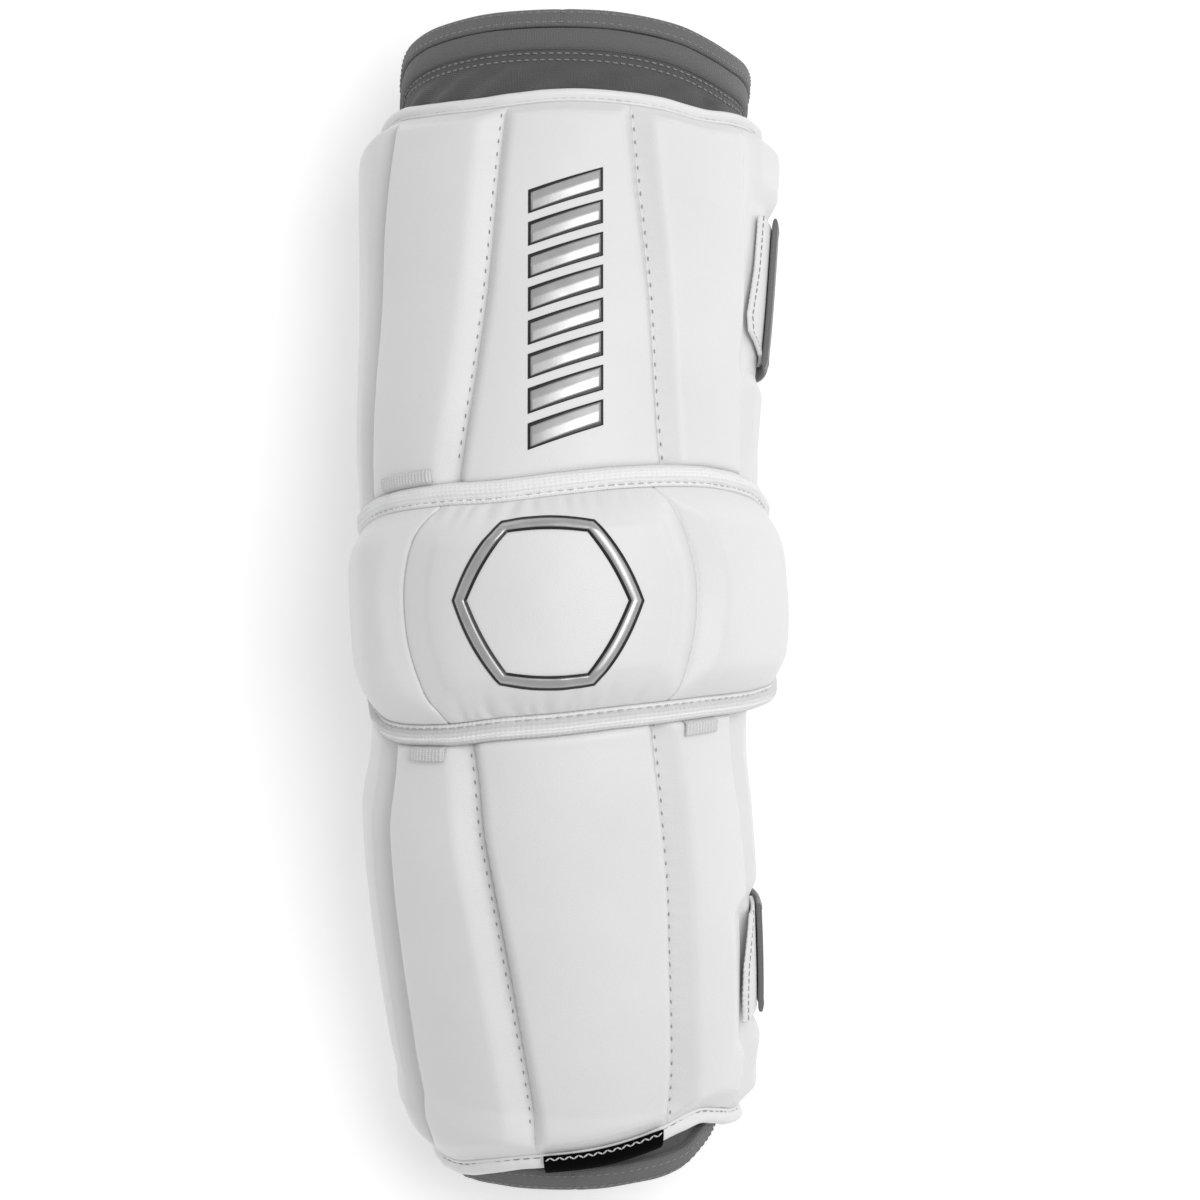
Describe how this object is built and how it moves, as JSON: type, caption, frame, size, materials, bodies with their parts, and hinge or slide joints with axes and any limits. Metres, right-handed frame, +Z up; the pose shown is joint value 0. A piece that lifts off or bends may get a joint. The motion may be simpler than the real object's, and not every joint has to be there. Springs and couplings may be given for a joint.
{
  "type": "lacrosse arm pad",
  "caption": "Pre-curved stretch sleeve for the arm with leather-covered foam panels, a padded elbow cap, knit cuffs and straps round the back.",
  "frame": {"origin": "on the floor under the middle of the whole pad's footprint", "axes": "+Y along the arm towards the shoulder end, +X to the right seen from above the elbow cap, +Z up through the elbow cap"},
  "size_m": [0.1274, 0.3372, 0.1248],
  "materials": {
    "grey_stretch_knit": "dark grey ribless stretch knit",
    "grey_elastic": "woven grey elastic",
    "white_leather": "smooth white coated leather over foam",
    "white_edging": "rolled white leather strip",
    "ribbed_knit": "light ribbed stretch binding",
    "white_webbing": "woven white elastic",
    "black_woven": "black woven label cloth"
  },
  "bodies": {
    "root": {"sleeve": "grey_stretch_knit", "upper_cuff": "grey_stretch_knit", "upper_cuff_binding": "grey_elastic", "lower_cuff_binding": "grey_elastic", "upper_pad_1": "white_leather", "lower_pad_1": "white_leather", "upper_pad_2": "white_leather", "lower_pad_2": "white_leather", "upper_pad_3": "white_leather", "lower_pad_3": "white_leather", "upper_pad_4": "white_leather", "lower_pad_4": "white_leather", "upper_pad_5": "white_leather", "lower_pad_5": "white_leather", "cap_pad_left": "white_leather", "cap_pad_middle": "white_leather", "cap_pad_right": "white_leather", "upper_strap_tab": "white_leather", "lower_strap_tab": "white_leather", "upper_edging": "white_edging", "lower_edging": "white_edging", "cap_edging": "ribbed_knit", "cap_loop_upper_left": "white_webbing", "cap_loop_lower_left": "white_webbing", "cap_loop_lower_right": "white_webbing", "label": "black_woven", "upper_strap": "grey_elastic", "lower_strap": "grey_elastic"}
  },
  "joints": []
}
